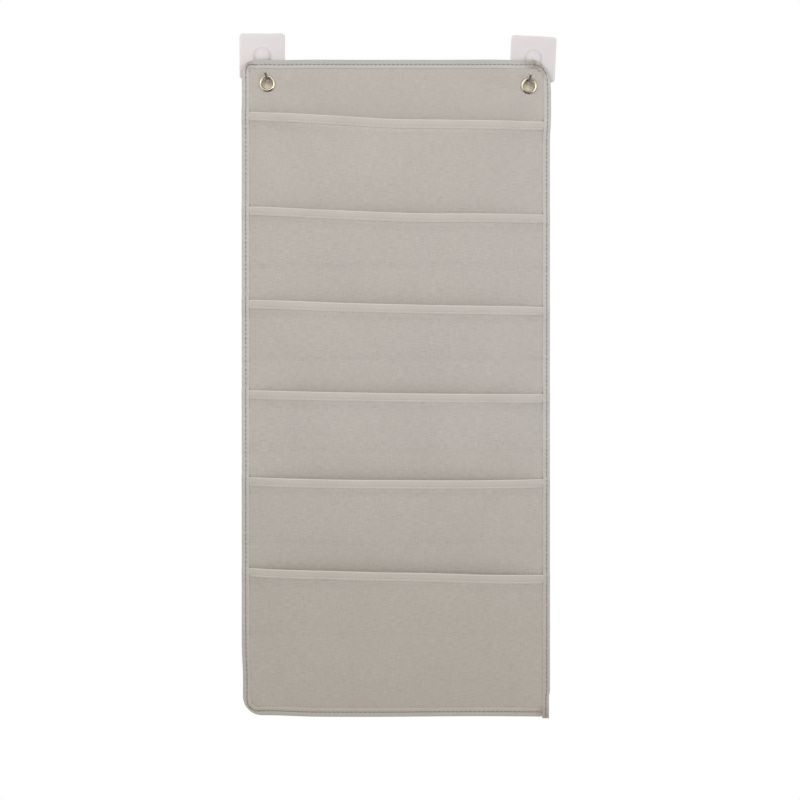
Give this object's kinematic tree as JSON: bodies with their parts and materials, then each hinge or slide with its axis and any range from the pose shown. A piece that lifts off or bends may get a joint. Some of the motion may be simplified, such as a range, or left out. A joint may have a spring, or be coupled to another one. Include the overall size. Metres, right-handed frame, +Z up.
{
  "type": "wall file organizer",
  "caption": "Hanging cloth file organizer with stacked sheer pockets, a bound edge, metal eyelets and two adhesive wall hooks.",
  "frame": {"origin": "on the wall plane, in the middle of the cloth's width, midway between the heights of the two hook domes", "axes": "+Z up, +Y into the wall, -Y the front, +X to the right seen from the front"},
  "size_m": [0.3622, 0.0327, 0.7835],
  "materials": {
    "panel_cloth": "woven warm grey cloth, matte",
    "pocket_mesh": "fine sheer gauze, light warm grey",
    "binding_tape": "folded woven tape with one row of stitches",
    "hook_plastic": "clear moulded plastic, glossy",
    "adhesive": "translucent adhesive film",
    "hook_steel": "bright drawn steel wire",
    "eyelet_metal": "polished pale nickel plating"
  },
  "bodies": {
    "wall_hooks": {"adhesive_pad_left": "adhesive", "adhesive_pad_right": "adhesive", "hook_plate_left": "hook_plastic", "hook_plate_right": "hook_plastic", "hook_retainer_left": "hook_plastic", "hook_retainer_right": "hook_plastic", "hook_wire_left": "hook_steel", "hook_wire_right": "hook_steel"},
    "organizer": {"back_panel": "panel_cloth", "edge_binding": "binding_tape", "pocket_1": "pocket_mesh", "pocket_2": "pocket_mesh", "pocket_3": "pocket_mesh", "pocket_4": "pocket_mesh", "pocket_5": "pocket_mesh", "pocket_6": "pocket_mesh", "pocket_1_hem": "binding_tape", "pocket_2_hem": "binding_tape", "pocket_3_hem": "binding_tape", "pocket_4_hem": "binding_tape", "pocket_5_hem": "binding_tape", "pocket_6_hem": "binding_tape", "eyelet_left": "eyelet_metal", "eyelet_right": "eyelet_metal", "eyelet_washer_left": "eyelet_metal", "eyelet_washer_right": "eyelet_metal"}
  },
  "joints": [
    {"name": "lift_off", "type": "slide", "parent": "wall_hooks", "child": "organizer", "axis": [0, -0.7071, 0.7071], "range_m": [0, 0.028]}
  ]
}
